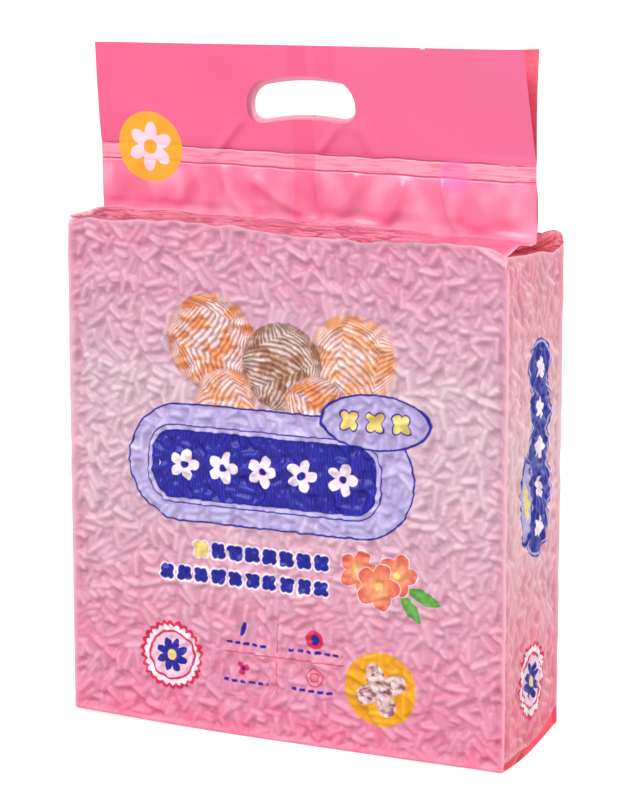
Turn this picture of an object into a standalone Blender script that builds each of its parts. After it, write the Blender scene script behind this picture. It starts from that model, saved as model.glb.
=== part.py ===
"""A sealed bag of cat litter, sucked hard into a block, with a flat carry header on top.

The bag is one tube of film with a gusset down each side. Everywhere along its height the
tube has the same four folded corners and the same two gusset folds, so the whole bag is a
loft through sections of that one tube:

    base and block   the tube is square open, full of litter, and the gussets are flat sides
    top of the block the front and back panels fold inwards over the litter, and each gusset
                     folds in below them, which leaves a pocket under two loose ears
    neck and seal    the tube is pressed flat, and the seal joins its layers
    mouth            the tube is open again above the seal, so it is hollow there

Units are metres. The origin is at the centre of the base, +Z is up and -Y is the front.
"""

import math

import bmesh
import bpy

# Driving dimensions.
BAG_WIDTH = 0.275
BLOCK_DEPTH = 0.077
BLOCK_HEIGHT = 0.292
NECK_HEIGHT = 0.296
SEAL_BOTTOM = 0.324
SEAL_TOP = 0.333
BAG_HEIGHT = 0.395
FILM = 0.00015

# How far apart the layers stand, as the y of the front and back panels at each end.
NECK_HALF_GAP = 0.0015
SEAL_HALF_GAP = 2 * FILM
MOUTH_FRONT = (-0.006, -0.020)
MOUTH_BACK = (0.0010, -0.0005)
HOLLOW_START = 0.004
SIDE_SAG = 0.005

# Rounding that the litter gives to the block's edges.
CORNER_RADIUS = 0.0025
BASE_RADIUS = 0.004
ROUND_STEPS = 3

# The arched hand hole, punched through both layers of the header.
HANDLE_CENTRE = (-0.0047, 0.3654)
HANDLE_WIDTH = 0.069
HANDLE_HEIGHT = 0.0245
HANDLE_CORNER = 0.0115
HANDLE_ARCH = 3.8
HANDLE_ARC_STEPS = 8
HANDLE_SIDE_STEPS = 10

GUSSET_PANEL = BLOCK_DEPTH / 2

# The places of the gusset folds in a section's list of six fold lines.
GUSSET_FOLDS = (2, 5)

FILM_COLOUR = (0.93, 0.32, 0.48, 1.0)
FILM_ROUGHNESS = 0.35


def clear_scene():
    for obj in list(bpy.data.objects):
        bpy.data.objects.remove(obj)


def film_material():
    material = bpy.data.materials.new("pink_film")
    material.use_nodes = True
    shader = material.node_tree.nodes["Principled BSDF"]
    shader.inputs["Base Color"].default_value = FILM_COLOUR
    shader.inputs["Roughness"].default_value = FILM_ROUGHNESS
    shader.inputs["Metallic"].default_value = 0.0
    return material


def both_ends(y):
    """The same y at the left and the right end of a panel."""
    return (y, y)


def tube_section(z, front, back, sag=0.0):
    """The tube's six fold lines at one height, counter-clockwise from the front left.

    Each half of a gusset keeps its real width, so the closer the front and back panels
    stand, the deeper the gusset folds in between them.
    """
    half_width = BAG_WIDTH / 2
    fold = []
    middle = []
    for near, far in zip(front, back):
        half_gap = (far - near) / 2
        fold.append(math.sqrt(max(GUSSET_PANEL**2 - half_gap**2, 0.0)))
        middle.append((near + far) / 2)
    return [
        (-half_width, front[0], z),
        (half_width, front[1], z),
        (half_width - fold[1], middle[1], z - sag),
        (half_width, back[1], z),
        (-half_width, back[0], z),
        (-half_width + fold[0], middle[0], z - sag),
    ]


def inset(section, distance):
    """A section moved inwards by the film's thickness, each corner where its two sides meet."""
    moved = []
    count = len(section)
    for i, (x, y, z) in enumerate(section):
        before = section[i - 1]
        after = section[(i + 1) % count]
        lines = []
        for start, end in ((before, (x, y)), ((x, y), after)):
            along = (end[0] - start[0], end[1] - start[1])
            length = math.hypot(*along)
            inward = (-along[1] / length, along[0] / length)
            lines.append((inward, inward[0] * x + inward[1] * y + distance))
        (a, b), first = lines[0]
        (c, d), second = lines[1]
        turn = a * d - b * c
        moved.append(((first * d - second * b) / turn, (a * second - c * first) / turn, z))
    return moved


def interpolate(low, high, share):
    return tuple(a + (b - a) * share for a, b in zip(low, high))


def bag_sections():
    """The outer sections from base to rim, then the inner ones from the rim down to the seal."""
    seal_front = both_ends(-SEAL_HALF_GAP)
    seal_back = both_ends(SEAL_HALF_GAP)
    share = HOLLOW_START / (BAG_HEIGHT - SEAL_TOP)
    floor_section = tube_section(
        SEAL_TOP + HOLLOW_START,
        interpolate(seal_front, MOUTH_FRONT, share),
        interpolate(seal_back, MOUTH_BACK, share),
    )
    rim_section = tube_section(BAG_HEIGHT, MOUTH_FRONT, MOUTH_BACK)
    block_front = both_ends(-BLOCK_DEPTH / 2)
    block_back = both_ends(BLOCK_DEPTH / 2)
    return [
        tube_section(0.0, block_front, block_back),
        tube_section(BLOCK_HEIGHT, block_front, block_back, SIDE_SAG),
        tube_section(NECK_HEIGHT, both_ends(-NECK_HALF_GAP), both_ends(NECK_HALF_GAP)),
        tube_section(SEAL_BOTTOM, seal_front, seal_back),
        tube_section(SEAL_TOP, seal_front, seal_back),
        floor_section,
        rim_section,
        inset(rim_section, FILM),
        inset(floor_section, FILM),
    ]


def cap(mesh, ring, facing_up):
    """Closes a section with a front half and a back half, which meet between the gusset folds."""
    front_left, front_right, right_fold, back_right, back_left, left_fold = ring
    front_half = (front_left, front_right, right_fold, left_fold)
    back_half = (left_fold, right_fold, back_right, back_left)
    for half in (front_half, back_half):
        mesh.faces.new(half if facing_up else half[::-1])


def wall(mesh, start, end, i):
    """One panel of the tube between two sections, outside going up and inside going down.

    A twisted panel is creased the same way on both faces of the film, which keeps its
    thickness. A gusset panel is creased from its corner below to its fold above, so that at
    the top of the block it folds in over the litter and leaves the pocket below the ear open.
    """
    j = (i + 1) % len(start)
    if start[i].co.y == start[j].co.y and end[i].co.y == end[j].co.y:
        mesh.faces.new((start[i], start[j], end[j], end[i]))
        return
    going_down = end[i].co.z < start[i].co.z
    low, high = (end, start) if going_down else (start, end)
    if i in GUSSET_FOLDS:
        halves = ((low[i], low[j], high[i]), (low[j], high[j], high[i]))
    else:
        halves = ((low[i], low[j], high[j]), (low[i], high[j], high[i]))
    for half in halves:
        mesh.faces.new(half[::-1] if going_down else half)


def loft(sections):
    """A closed solid through the sections, capped at the first and the last."""
    mesh = bmesh.new()
    rings = [[mesh.verts.new(point) for point in section] for section in sections]
    for lower, upper in zip(rings, rings[1:]):
        for i in range(len(lower)):
            wall(mesh, lower, upper, i)
    cap(mesh, rings[0], facing_up=False)
    cap(mesh, rings[-1], facing_up=True)
    return mesh, rings


def is_flat(edge):
    """True where the two faces at an edge lie in one plane, as across the base."""
    return edge.calc_face_angle(0.0) < math.radians(1)


def round_block(mesh, rings):
    """Rounds the block's four upright edges and its front and back top edges, then its base."""
    base, shoulder = rings[0], rings[1]
    upright = [(base[i], shoulder[i]) for i in range(len(base)) if i not in GUSSET_FOLDS]
    top = [(shoulder[0], shoulder[1]), (shoulder[3], shoulder[4])]
    edges = [mesh.edges.get(ends) for ends in upright + top]
    bmesh.ops.bevel(
        mesh,
        geom=edges,
        offset=CORNER_RADIUS,
        segments=ROUND_STEPS,
        profile=0.5,
        affect="EDGES",
    )
    base_edges = [
        e for e in mesh.edges if all(v.co.z < FILM for v in e.verts) and not is_flat(e)
    ]
    bmesh.ops.bevel(
        mesh,
        geom=base_edges,
        offset=BASE_RADIUS,
        segments=ROUND_STEPS,
        profile=0.5,
        affect="EDGES",
    )


def handle_outline():
    """The hand hole's outline in x and z: a slot with round corners, bent into an arch."""
    half_width = HANDLE_WIDTH / 2
    half_height = HANDLE_HEIGHT / 2
    straight_x = half_width - HANDLE_CORNER
    straight_z = half_height - HANDLE_CORNER
    points = []
    for quarter, (side_x, side_z) in enumerate(((1, 1), (-1, 1), (-1, -1), (1, -1))):
        for step in range(HANDLE_ARC_STEPS + 1):
            angle = math.pi / 2 * (quarter + step / HANDLE_ARC_STEPS)
            points.append(
                (
                    side_x * straight_x + HANDLE_CORNER * math.cos(angle),
                    side_z * straight_z + HANDLE_CORNER * math.sin(angle),
                )
            )
        if quarter in (0, 2):
            for step in range(1, HANDLE_SIDE_STEPS):
                share = 1 - 2 * step / HANDLE_SIDE_STEPS
                points.append((side_x * straight_x * share, side_z * half_height))
    centre_x, centre_z = HANDLE_CENTRE
    return [(centre_x + x, centre_z + z - HANDLE_ARCH * x * x) for x, z in points]


def make_object(name, mesh, material=None):
    data = bpy.data.meshes.new(name)
    mesh.to_mesh(data)
    mesh.free()
    obj = bpy.data.objects.new(name, data)
    bpy.context.scene.collection.objects.link(obj)
    if material:
        data.materials.append(material)
    return obj


def make_handle_cutter():
    """A prism through the header, extruded from the hole's outline."""
    mesh = bmesh.new()
    reach = -2 * MOUTH_FRONT[1]
    outline = [mesh.verts.new((x, -reach, z)) for x, z in handle_outline()]
    face = mesh.faces.new(outline)
    grown = bmesh.ops.extrude_face_region(mesh, geom=[face])
    far_side = [v for v in grown["geom"] if isinstance(v, bmesh.types.BMVert)]
    bmesh.ops.translate(mesh, verts=far_side, vec=(0, 2 * reach, 0))
    bmesh.ops.recalc_face_normals(mesh, faces=mesh.faces)
    cutter = make_object("handle_cutter", mesh)
    cutter.hide_render = True
    cutter.display_type = "WIRE"
    return cutter


def make_bag(material):
    mesh, rings = loft(bag_sections())
    round_block(mesh, rings)
    bag = make_object("litter_bag", mesh, material)
    punch = bag.modifiers.new("hand hole", "BOOLEAN")
    punch.operation = "DIFFERENCE"
    punch.solver = "EXACT"
    punch.object = make_handle_cutter()
    bag.data.shade_smooth()
    bag.data.set_sharp_from_angle(angle=math.radians(35))
    return bag


def main():
    clear_scene()
    make_bag(film_material())


main()
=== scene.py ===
# %% [markdown]
# # A vacuum-packed bag of cat litter
#
# The bag is a tube of thin pink film, sucked so hard onto its litter that it stands as a block,
# and every pellet shows through. Above the block the tube is pressed flat, sealed across, and
# left open as a soft carry header with a hand hole. This notebook builds the look of that film
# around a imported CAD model, which is the plain block that gives the sizes.

# %% Load the frame and keep its box
import math

import bpy
import numpy as np
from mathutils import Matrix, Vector


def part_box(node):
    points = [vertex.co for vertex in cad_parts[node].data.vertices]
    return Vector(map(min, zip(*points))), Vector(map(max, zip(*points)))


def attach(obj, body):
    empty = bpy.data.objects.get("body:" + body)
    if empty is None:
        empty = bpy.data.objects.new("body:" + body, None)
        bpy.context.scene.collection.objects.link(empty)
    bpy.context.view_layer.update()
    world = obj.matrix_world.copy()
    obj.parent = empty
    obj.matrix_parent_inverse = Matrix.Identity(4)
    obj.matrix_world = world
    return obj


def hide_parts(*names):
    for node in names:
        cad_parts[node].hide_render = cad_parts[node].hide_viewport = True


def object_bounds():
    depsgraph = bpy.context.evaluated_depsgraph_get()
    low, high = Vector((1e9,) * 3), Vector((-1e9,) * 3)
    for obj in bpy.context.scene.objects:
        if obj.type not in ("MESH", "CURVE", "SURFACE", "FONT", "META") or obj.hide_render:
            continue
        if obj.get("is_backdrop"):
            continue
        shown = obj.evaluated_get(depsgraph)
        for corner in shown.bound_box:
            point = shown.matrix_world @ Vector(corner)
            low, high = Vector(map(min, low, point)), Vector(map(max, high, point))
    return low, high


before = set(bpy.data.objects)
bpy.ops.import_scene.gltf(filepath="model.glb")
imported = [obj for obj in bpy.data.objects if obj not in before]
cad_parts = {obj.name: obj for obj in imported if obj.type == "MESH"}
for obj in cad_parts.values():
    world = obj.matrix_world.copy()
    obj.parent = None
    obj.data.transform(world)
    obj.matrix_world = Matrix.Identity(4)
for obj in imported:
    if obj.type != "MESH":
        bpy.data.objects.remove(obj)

cad_box = [list(corner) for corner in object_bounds()]
low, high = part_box("litter_bag")
WIDTH = high.x - low.x
DEPTH = high.y - low.y
HEIGHT = high.z - low.z
HALF_WIDTH = WIDTH / 2
HALF_DEPTH = DEPTH / 2
print("CAD box in mm:", [round(1000 * side, 1) for side in (WIDTH, DEPTH, HEIGHT)])

# %% [markdown]
# ## Where the bag folds
#
# The heights below are the CAD model's: the block of litter ends at the shoulder, the film is
# gathered at the neck, and a seal crosses the header. Lengths are written in millimetres where
# they are small, because film is measured so, and `MM` turns them into Blender's metres.

# %% Heights along the bag
MM = 0.001
SHOULDER = 292 * MM
NECK = 297 * MM
SEAL_BOTTOM = 324.9 * MM
SEAL_TOP = 334 * MM
print("the header is", round((HEIGHT - NECK) / MM), "mm of the bag's", round(HEIGHT / MM), "mm")


# %% [markdown]
# ## Helpers for soft film
#
# Film never lies quite flat. A few sine waves with random directions and phases add up to a
# smooth, irregular swell, which is cheaper to control than a noise texture, and it is the same
# in each run because the random numbers are seeded.

# %% Smooth random waves
WAVES_PER_SIZE = 0.7


def waves(u, v, size_u, size_v, seed, count=7):
    """A smooth random field of about -1 to 1, with bumps of the given size along u and v."""
    rng = np.random.default_rng(seed)
    total = 0.0
    for _ in range(count):
        turn = rng.uniform(0, math.tau)
        pitch = rng.uniform(0.6, 1.4)
        phase = rng.uniform(0, math.tau)
        along = u / size_u * math.cos(turn) + v / size_v * math.sin(turn)
        total = total + np.sin(WAVES_PER_SIZE * math.tau * pitch * along + phase)
    return total / math.sqrt(count)


def ease(value, start, end):
    """0 before start and 1 after end, with a smooth step between."""
    share = np.clip((value - start) / (end - start), 0, 1)
    return share * share * (3 - 2 * share)


metre = np.linspace(0, 1, 500)
print("a swell reaches", round(float(np.abs(waves(metre, metre, 0.05, 0.05, 1)).max()), 2))

# %% [markdown]
# A sheet of film starts as Blender's grid, which has a point at every crossing. Each point keeps
# its place `s` across the sheet and `t` up it, so that a formula can say where it goes. Cloth
# would do this too, but it can't be told where the folds of a pack have to be.

# %% Sheets of film
def add_sheet(name, columns, rows):
    """A square grid of points, and each point's place across and up it, from 0 to 1."""
    bpy.ops.object.select_all(action="DESELECT")
    bpy.ops.mesh.primitive_grid_add(x_subdivisions=columns - 1, y_subdivisions=rows - 1, size=1)
    sheet = bpy.context.object
    sheet.name = name
    sheet.data.name = name
    places = np.empty(len(sheet.data.vertices) * 3)
    sheet.data.vertices.foreach_get("co", places)
    places = places.reshape(rows, columns, 3) + 0.5
    return sheet, places[:, :, 0], places[:, :, 1]


def place_points(sheet, points):
    """Moves the sheet's points, given as rows of columns of (x, y, z)."""
    sheet.data.vertices.foreach_set("co", points.reshape(-1))
    sheet.data.update()


def facing(points):
    """The direction that a sheet faces at each of its points."""
    across = np.gradient(points, axis=1)
    up = np.gradient(points, axis=0)
    normal = np.cross(across, up)
    return normal / np.maximum(np.linalg.norm(normal, axis=2, keepdims=True), 1e-12)


# %% [markdown]
# Every sheet is finished alike: it is shaded smooth up to its sharp folds, it keeps the values
# that its material will ask for, and it rides on the bag's only body. Vertex groups could keep
# the values too, but an attribute is read by a shader without any setting up.

# %% Finish a sheet
def smooth(sheet, degrees=60):
    """Shades the sheet smooth, apart from folds that are sharper than this angle."""
    bpy.ops.object.select_all(action="DESELECT")
    sheet.select_set(True)
    bpy.context.view_layer.objects.active = sheet
    bpy.ops.object.shade_smooth_by_angle(angle=math.radians(degrees))


def remember(sheet, name, values):
    """Keeps a value at each of the sheet's points, for its material to read."""
    attribute = sheet.data.attributes.new(name, "FLOAT", "POINT")
    attribute.data.foreach_set("value", values.ravel())


def ride(sheet):
    """The piece belongs to the bag's only body and stands for its CAD solid."""
    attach(sheet, "root")
    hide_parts("litter_bag")
    print(sheet.name, "has", len(sheet.data.polygons), "faces")


# %% [markdown]
# ## The litter under the film
#
# The litter is short rods of pressed fibre. Pressed against the film they lie flat, and they
# hardly overlap, so they are thrown one by one onto a chart of the panel and kept only where the
# chart is still free. A second layer, deeper down, fills the gaps. Modelling thousands of rods
# and shrinking a cloth onto them would give the same surface far more slowly.

# %% Throw the pellets
PELLET_RADIUS = 1.55 * MM
PELLET_LENGTH = (6 * MM, 15 * MM)
CHART_CELL = 0.45 * MM
TURNS_TRIED = 6


def throw_pellets(width, height, seed, tries, room):
    """Pellets as rows of (u, v, direction u, direction v, half length), none on another.

    room is how much of its own width a pellet keeps free of the others.
    """
    rng = np.random.default_rng(seed)
    columns, rows = int(width / CHART_CELL) + 2, int(height / CHART_CELL) + 2
    taken = np.zeros((rows, columns), bool)
    across = np.array([-1, -0.35, 0.35, 1]) * PELLET_RADIUS * room
    pellets = []
    for _ in range(tries):
        centre = rng.uniform((0, 0), (width, height))
        half = rng.uniform(*PELLET_LENGTH) / 2
        along = np.arange(-half, half, 0.8 * MM)
        for turn in rng.uniform(0, math.pi, TURNS_TRIED):
            du, dv = math.cos(turn), math.sin(turn)
            u = centre[0] + np.add.outer(along * du, -across * dv).ravel()
            v = centre[1] + np.add.outer(along * dv, across * du).ravel()
            column = np.clip((u / CHART_CELL).astype(int), 0, columns - 1)
            row = np.clip((v / CHART_CELL).astype(int), 0, rows - 1)
            if not taken[row, column].any():
                taken[row, column] = True
                pellets.append((centre[0], centre[1], du, dv, half))
                break
    return pellets


print("a 50 mm square holds", len(throw_pellets(50 * MM, 50 * MM, 1, 300, 1.0)), "pellets")

# %% [markdown]
# The film is a height over the panel. It can't go below a pellet, so each pellet raises the
# heights around it to its own round back. Between pellets the vacuum pulls the film down while
# its own tension holds it up: averaging each point with its neighbours, less a little, and then
# lifting it back onto the pellets, settles to the tight, bridged surface of a real vacuum pack.

# %% Lay the film on the pellets
PULL = 0.07 * MM
SETTLING_STEPS = 60
DEEPEST = -3.2 * MM
SOFTENING = 0.6
AREA_PER_TRY = (3.2 * MM) ** 2
# How much of its width a pellet keeps free, the crest's height, and how uneven the crests are.
LOWER_LAYER = (0.85, -1.3 * MM, 1.3 * MM)
TOP_LAYER = (0.95, 0.0, 1.5 * MM)


def raise_over(heights, step, pellets, layer, rng):
    """Lifts the heights to the backs of a layer's pellets."""
    _, crest, unevenness = layer
    rows, columns = heights.shape
    for u, v, du, dv, half in pellets:
        top = crest - unevenness * rng.random()
        tilt = rng.normal(0, 0.05)
        reach = half + PELLET_RADIUS
        left, right = int((u - reach) / step), int((u + reach) / step) + 2
        bottom, upper = int((v - reach) / step), int((v + reach) / step) + 2
        left, right = max(left, 0), min(right, columns)
        bottom, upper = max(bottom, 0), min(upper, rows)
        if left >= right or bottom >= upper:
            continue
        grid_u = np.arange(left, right) * step - u
        grid_v = (np.arange(bottom, upper) * step - v)[:, None]
        along = grid_u * du + grid_v * dv
        beside = grid_v * du - grid_u * dv
        past = np.maximum(np.abs(along) - half + PELLET_RADIUS, 0)
        away = beside**2 + past**2
        roundness = np.sqrt(np.maximum(PELLET_RADIUS**2 - away, 0)) - PELLET_RADIUS
        back = np.where(away < PELLET_RADIUS**2, top + along * tilt + roundness, DEEPEST)
        patch = heights[bottom:upper, left:right]
        np.maximum(patch, back, out=patch)


def average(heights):
    """Each height's four neighbours, averaged, with the border's own heights beyond it."""
    padded = np.pad(heights, 1, mode="edge")
    sides = padded[1:-1, :-2] + padded[1:-1, 2:] + padded[:-2, 1:-1] + padded[2:, 1:-1]
    return sides / 4


def film_heights(columns, rows, step, seed):
    """The heights of the film over a panel of litter, in metres, with pellet tops at about 0."""
    width, height = (columns - 1) * step, (rows - 1) * step
    rng = np.random.default_rng(seed)
    tries = int(width * height / AREA_PER_TRY)
    litter = np.full((rows, columns), DEEPEST)
    lower = throw_pellets(width, height, seed + 1, tries, LOWER_LAYER[0])
    raise_over(litter, step, lower, LOWER_LAYER, rng)
    top = throw_pellets(width, height, seed + 2, 2 * tries, TOP_LAYER[0])
    raise_over(litter, step, top, TOP_LAYER, rng)
    film = litter.copy()
    for _ in range(SETTLING_STEPS):
        film = np.maximum(litter, average(film) - PULL)
    print(f"panel {width / MM:.0f} x {height / MM:.0f} mm: {len(top)} pellets against the film")
    return film + (average(film) - film) * SOFTENING


print("the film sinks", round(-film_heights(60, 60, MM, 1).min() / MM, 1), "mm between pellets")

# %% [markdown]
# ## The corners of the block
#
# The tube's four upright folds run up the corners of the block. Neighbouring panels share them,
# so both panels ask the same function where the fold is, and no gap can open between them. The
# litter has sagged, so the foot is lowest in the middle of the front and lifts towards the back,
# and near the top the folds are drawn inwards by the gathered film.

# %% The corners and the foot
CORNERS = {
    "front_left": (-1, -1),
    "front_right": (1, -1),
    "back_right": (1, 1),
    "back_left": (-1, 1),
}


def at_corners(front_left, front_right, back_right, back_left):
    """A length in millimetres at each corner, as a table in metres."""
    return dict(zip(CORNERS, (front_left * MM, front_right * MM, back_right * MM, back_left * MM)))


FOOT = at_corners(2.2, 0.6, 8.5, 5.0)
TOP = at_corners(291.8, 287.2, 287.0, 290.0)
DRAWN_IN = at_corners(0.5, 2.5, 0.3, 2.0)
INSET = at_corners(0.3, 0.3, -0.5, 0.3)
DRAWN_OVER = 14 * MM
FOOT_RADIUS = 2.4 * MM
SIDE_FOOT = (0.6, 0.3, 0.4, 1.5, 3.4, 5.6, 8.5)
SIDE_FOOT_PLACES = (0, 0.18, 0.35, 0.5, 0.65, 0.8, 1)


def from_corners(values, first, last, share):
    return values[first] + (values[last] - values[first]) * share


def foot_line(first, last, share):
    """Height of a panel's lower edge, from its first upright fold (share 0) to its last (1)."""
    straight = from_corners(FOOT, first, last, share)
    if (first, last) == ("front_right", "back_right"):
        return np.interp(share, SIDE_FOOT_PLACES, SIDE_FOOT) * MM
    middle = ease(share, 0, 0.35) * (1 - ease(share, 0.78, 1))
    return straight * (1 - middle) + 0.2 * MM * middle


for corner in CORNERS:
    print(corner, "is from", round(FOOT[corner] / MM, 1), "to", round(TOP[corner] / MM, 1), "mm up")

# %% [markdown]
# The block's upper edge is wavy, because the litter has settled unevenly under the gathered
# film, and it sags at the sides, where nothing holds the gusset up. Heights at a few places and
# straight runs between them say this in two lines, where a curve would need handles to set.

# %% The shoulder line
CREST_PLACES = (-137.5, -125, -82, -30, 10, 75, 118, 131, 137.5)
FRONT_CREST = (291.8, 295, 296.3, 295.3, 291.8, 291.8, 293.0, 290.6, 287.2)
REAR_CREST = (290, 293, 295, 294, 292, 293, 293, 290, 287)
SIDE_SAG_PLACES = (0, 0.1, 0.35, 0.6, 0.8, 0.92, 1)
SIDE_SAG = (0, 0.4, 1.4, 1.6, 4.0, 2.0, 0)


def top_line(first, last, share):
    """Height of a panel's upper edge: wavy along the front and back, sagging at the sides."""
    if CORNERS[first][0] == CORNERS[last][0]:
        from_front = share if first == "front_right" else 1 - share
        sag = np.interp(from_front, SIDE_SAG_PLACES, SIDE_SAG)
        return from_corners(TOP, first, last, share) - sag * MM
    x = (share - 0.5) * WIDTH * CORNERS[last][0]
    crest = FRONT_CREST if CORNERS[first][1] < 0 else REAR_CREST
    level = np.interp(x / MM, CREST_PLACES, crest) * MM
    inside = ease(share, 0, 0.06) * (1 - ease(share, 0.94, 1))
    return level + 0.7 * MM * inside * waves(x, x, 17 * MM, 90 * MM, 31)


crest = top_line("front_left", "front_right", np.linspace(0, 1, 50))
print("the front's crest is up to", round(float(crest.max()) / MM, 1), "mm high")

# %% [markdown]
# An upright fold isn't a ruler's edge. It wanders by a third of a millimetre, it is drawn in
# below the shoulder, and it turns under at the foot with the film. One function gives its place
# at any height, so that the panels on both sides of it are bound to agree.

# %% The upright folds
def upright_fold(corner, rise):
    """x and y of an upright fold of the block, at these heights above its foot."""
    side, depth = CORNERS[corner]
    z = rise + FOOT[corner]
    wander = 0.3 * MM * waves(z, z, 22 * MM, 60 * MM, 11 + 3 * side + depth)
    drawn = DRAWN_IN[corner] * ease(z, TOP[corner] - DRAWN_OVER, TOP[corner] + 3 * MM) ** 1.4
    below = np.clip(1 - rise / FOOT_RADIUS, 0, 1)
    tucked = FOOT_RADIUS * (1 - np.sqrt(1 - below**2))
    x = side * (HALF_WIDTH - INSET[corner] - drawn - tucked) + wander
    y = depth * (HALF_DEPTH - INSET[corner] - 0.3 * drawn - tucked) - wander
    return x, y


turned_under = HALF_WIDTH - upright_fold("front_right", 0)[0]
print("a fold turns under by", round(float(turned_under) / MM, 1), "mm at the foot")

# %% [markdown]
# ## Panels of film over litter
#
# Three things shape a wall besides its pellets: the film bends round the foot in a small arc, a
# pleat crosses the front's right upper corner, and low on the sides the printed film ends, where
# the film that is folded round the foot comes up behind it. Each is a small formula here, so
# that the wall's mesh and its material can both use it.

# %% The bend, the pleat and the parcel fold
def foot_arc(length):
    """How high the film has risen, for a length of it measured from under the foot."""
    angle = np.clip(length / FOOT_RADIUS, 0, math.pi / 2)
    return FOOT_RADIUS * (1 - np.cos(angle)) + np.maximum(length - FOOT_RADIUS * math.pi / 2, 0)


RIDGE_END = 5
CORNER_PLEAT = ((119, 291), (137, 281), 1.8)
PLEAT_RISE = 0.9 * MM


def ridge_between(fold, x, z):
    """1 along a straight fold and 0 away from it; the fold is (start, end, width) in mm."""
    (x0, z0), (x1, z1), width = fold
    along_x, along_z = x1 - x0, z1 - z0
    length = math.hypot(along_x, along_z)
    from_x, from_z = x / MM - x0, z / MM - z0
    along = (from_x * along_x + from_z * along_z) / length
    beside = (from_z * along_x - from_x * along_z) / length
    past = np.maximum(np.maximum(-along, along - length), 0)
    return np.exp(-((beside / width) ** 2) - (past / RIDGE_END) ** 2)


PARCEL_PLACES = (0, 0.12, 0.29, 0.45, 0.67, 0.92, 1)
PARCEL_HEIGHTS = (4.7, 6.2, 7.2, 6.6, 9.4, 17.5, 19.5)


def parcel_line(y):
    """Height where a side's printed film ends and the film folded round the foot begins."""
    return np.interp((y + HALF_DEPTH) / DEPTH, PARCEL_PLACES, PARCEL_HEIGHTS) * MM


fold_ends = [round(float(parcel_line(y)) / MM, 1) for y in (-HALF_DEPTH, HALF_DEPTH)]
print("the parcel fold rises from and to, in mm:", fold_ends)

# %% [markdown]
# Each wall of the block is one sheet: bent round the foot at the bottom, carried between its two
# upright folds, and raised and lowered by the film heights. Near the folds the pellets can't
# reach into the corner, so the relief fades there and leaves the smooth, crisp ridge that a
# pressed fold has. A displacement texture would do this too, but it couldn't fade along folds.

# %% The surface of a wall
# How far a wall bulges, and how strongly the pellets show through it.
BROAD_WALL = (1.2 * MM, 1.15)
NARROW_WALL = (0.4 * MM, 0.75)
GROOVE_DEPTH = 0.5 * MM
PARCEL_STEP = 0.7 * MM


def bare_wall(first, last, s, t, span, bulge, seed):
    """Points of the film between two upright folds, before the pellets shape it."""
    along = Vector(CORNERS[last]) - Vector(CORNERS[first])
    foot, top = foot_line(first, last, s), top_line(first, last, s)
    bend = FOOT_RADIUS * (math.pi / 2 - 1)
    rise = foot_arc(t * (top - foot + bend))
    x0, y0 = upright_fold(first, rise)
    x1, y1 = upright_fold(last, rise)
    swell = bulge * np.sin(math.pi * s) * np.sin(math.pi * t)
    swell = swell + 0.5 * MM * waves(s * span, rise, 60 * MM, 80 * MM, seed) * np.sin(math.pi * s)
    x = x0 + (x1 - x0) * s + along.y / 2 * swell
    y = y0 + (y1 - y0) * s - along.x / 2 * swell
    return np.stack((x, y, rise + foot), axis=2)


def litter_surface(first, last, step, seed):
    """Rows of points of a wall, how far each is raised, and how much it is on a ridge."""
    broad = CORNERS[first][1] == CORNERS[last][1]
    span, (bulge, strength) = (WIDTH, BROAD_WALL) if broad else (DEPTH, NARROW_WALL)
    columns, rows = round(span / step) + 1, round(SHOULDER / step) + 1
    s, t = np.meshgrid(np.linspace(0, 1, columns), np.linspace(0, 1, rows))
    points = bare_wall(first, last, s, t, span, bulge, seed)
    from_fold = np.minimum(s, 1 - s) * span
    from_top, from_foot = (1 - t) * SHOULDER, t * SHOULDER
    fade = ease(from_fold, 0.5 * MM, 5 * MM) * ease(from_top, 0, 5 * MM)
    fade = fade * ease(from_foot, 2 * MM, 6.5 * MM)
    dip = -GROOVE_DEPTH * np.exp(-(((from_fold - 4 * MM) / (2.5 * MM)) ** 2))
    if not broad:
        over_fold = points[:, :, 2] - parcel_line(points[:, :, 1])
        fade = fade * ease(over_fold, 0, 4 * MM)
        dip = dip - PARCEL_STEP * (1 - ease(over_fold, -0.8 * MM, 0))
    lift = strength * film_heights(columns, rows, step, seed) * fade
    lift = lift + dip * ease(from_top, 0, 6 * MM) * ease(from_foot, 0, 6 * MM)
    # Ridge values mark the upright folds, the upper edge and the pleat, for a painted highlight
    # there.
    ridge = np.exp(-((np.minimum(from_fold, from_top) / (0.9 * MM)) ** 2))
    if first == "front_left":
        pleat = ridge_between(CORNER_PLEAT, points[:, :, 0], points[:, :, 2])
        lift = lift * (1 - 0.7 * pleat) + PLEAT_RISE * pleat
        ridge = np.maximum(ridge, 0.8 * pleat)
    return points + facing(points) * lift[:, :, None], lift, ridge


# %% [markdown]
# The front is nearest to the eye and carries the picture, so it has the finest mesh, in two
# halves that meet in the same row of points. The sides are as fine, and the back is coarser. The
# crests and ridges are kept as attributes, since the material paints them paler: a painted
# highlight on the ridges, and on the crests painted light with the pale pellets' colour.

# %% Make the walls
FINE = 0.7 * MM
COARSE = 0.95 * MM
CREST_DEPTH = 2 * MM


def litter_panel(name, points, lift, ridge):
    """A sheet of film through rows of points, which remembers where its crests and ridges are."""
    rows, columns = lift.shape
    sheet, _, _ = add_sheet(name, columns, rows)
    place_points(sheet, points)
    remember(sheet, "crest", np.clip(1 + lift / CREST_DEPTH, 0, 1))
    remember(sheet, "ridge", ridge)
    if name.endswith("gusset"):
        remember(sheet, "above_parcel_line", (points[:, :, 2] - parcel_line(points[:, :, 1])) / MM)
    smooth(sheet, 75)
    ride(sheet)
    return sheet


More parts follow.
